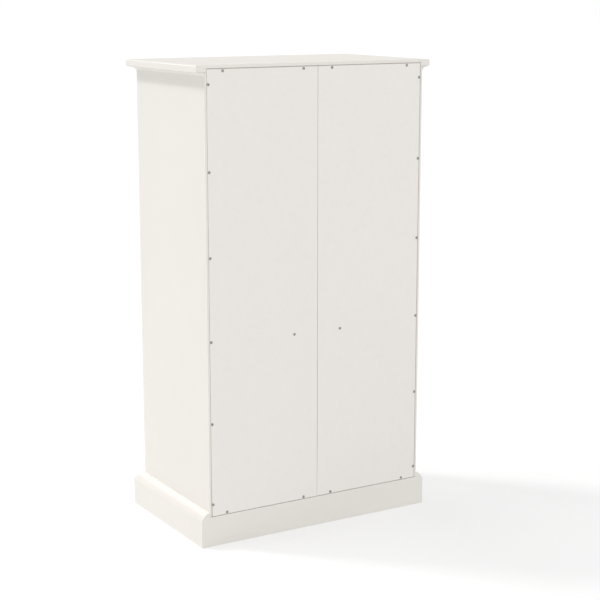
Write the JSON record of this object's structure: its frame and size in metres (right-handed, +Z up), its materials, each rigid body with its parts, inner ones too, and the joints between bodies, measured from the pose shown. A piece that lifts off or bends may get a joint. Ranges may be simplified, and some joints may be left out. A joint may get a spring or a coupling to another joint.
{
  "type": "jewelry armoire",
  "caption": "Tall painted wooden jewelry cabinet: hinged panelled doors over drawers, small cove under an overhanging top, moulded base, and a screwed two-piece back.",
  "frame": {"origin": "on the floor, at the centre of the footprint", "axes": "+Z up, front faces -Y, +X to the right of a person who faces the front"},
  "size_m": [0.6, 0.359, 1.067],
  "materials": {
    "white_paint": "satin white paint over wood and MDF",
    "back_board": "white-faced hardboard, matt",
    "drawer_wood": "clear-lacquered birch",
    "drawer_lining": "grey felt glued to a plywood bottom",
    "nickel": "satin nickel plating",
    "zinc_screw": "zinc-plated steel",
    "brass_hook": "polished brass",
    "mirror": "silvered glass",
    "velvet": "grey velvet"
  },
  "bodies": {
    "carcass": {"back_panel_left": "back_board", "back_panel_right": "back_board", "base_back": "white_paint", "base_front": "white_paint", "base_left": "white_paint", "base_right": "white_paint", "bottom_panel": "white_paint", "crown_front": "white_paint", "crown_left": "white_paint", "crown_right": "white_paint", "drawer_bay_liner_left": "white_paint", "drawer_bay_liner_right": "white_paint", "drawer_divider_lower": "white_paint", "drawer_divider_upper": "white_paint", "face_rail_top": "white_paint", "face_stile_left": "white_paint", "face_stile_right": "white_paint", "fixed_shelf": "white_paint", "hinge_left_lower_frame_leaf": "nickel", "hinge_left_lower_pin": "nickel", "hinge_left_upper_frame_leaf": "nickel", "hinge_left_upper_pin": "nickel", "hinge_right_lower_frame_leaf": "nickel", "hinge_right_lower_pin": "nickel", "hinge_right_upper_frame_leaf": "nickel", "hinge_right_upper_pin": "nickel", "ring_cushion": "velvet", "side_panel_left": "white_paint", "side_panel_right": "white_paint", "top_panel": "white_paint", "upper_shelf": "white_paint"},
    "door_left": {"door_left_bottom_rail": "white_paint", "door_left_hinge_stile": "white_paint", "door_left_knob": "nickel", "door_left_meeting_stile": "white_paint", "door_left_mirror": "mirror", "door_left_panel": "white_paint", "door_left_top_rail": "white_paint", "hinge_left_lower_door_leaf": "nickel", "hinge_left_upper_door_leaf": "nickel"},
    "door_right": {"door_right_bottom_rail": "white_paint", "door_right_hinge_stile": "white_paint", "door_right_knob": "nickel", "door_right_meeting_stile": "white_paint", "door_right_panel": "white_paint", "door_right_top_rail": "white_paint", "hinge_right_lower_door_leaf": "nickel", "hinge_right_upper_door_leaf": "nickel"},
    "drawer_lower": {"drawer_lower_bottom": "drawer_lining", "drawer_lower_box": "drawer_wood", "drawer_lower_front": "white_paint", "drawer_lower_knob": "nickel"},
    "drawer_middle": {"drawer_middle_bottom": "drawer_lining", "drawer_middle_box": "drawer_wood", "drawer_middle_front": "white_paint", "drawer_middle_knob": "nickel"},
    "drawer_upper": {"drawer_upper_bottom": "drawer_lining", "drawer_upper_box": "drawer_wood", "drawer_upper_front": "white_paint", "drawer_upper_knob": "nickel"}
  },
  "joints": [
    {"name": "door_left_hinge", "type": "hinge", "parent": "carcass", "child": "door_left", "pos_m": [-0.24555, -0.1629, 0.735], "axis": [0, 0, -1], "range_deg": [0, 120]},
    {"name": "door_right_hinge", "type": "hinge", "parent": "carcass", "child": "door_right", "pos_m": [0.24555, -0.1629, 0.735], "axis": [0, 0, 1], "range_deg": [0, 120]},
    {"name": "drawer_lower_slide", "type": "slide", "parent": "carcass", "child": "drawer_lower", "axis": [0, -1, 0], "range_m": [0, 0.22]},
    {"name": "drawer_middle_slide", "type": "slide", "parent": "carcass", "child": "drawer_middle", "axis": [0, -1, 0], "range_m": [0, 0.22]},
    {"name": "drawer_upper_slide", "type": "slide", "parent": "carcass", "child": "drawer_upper", "axis": [0, -1, 0], "range_m": [0, 0.22]}
  ]
}
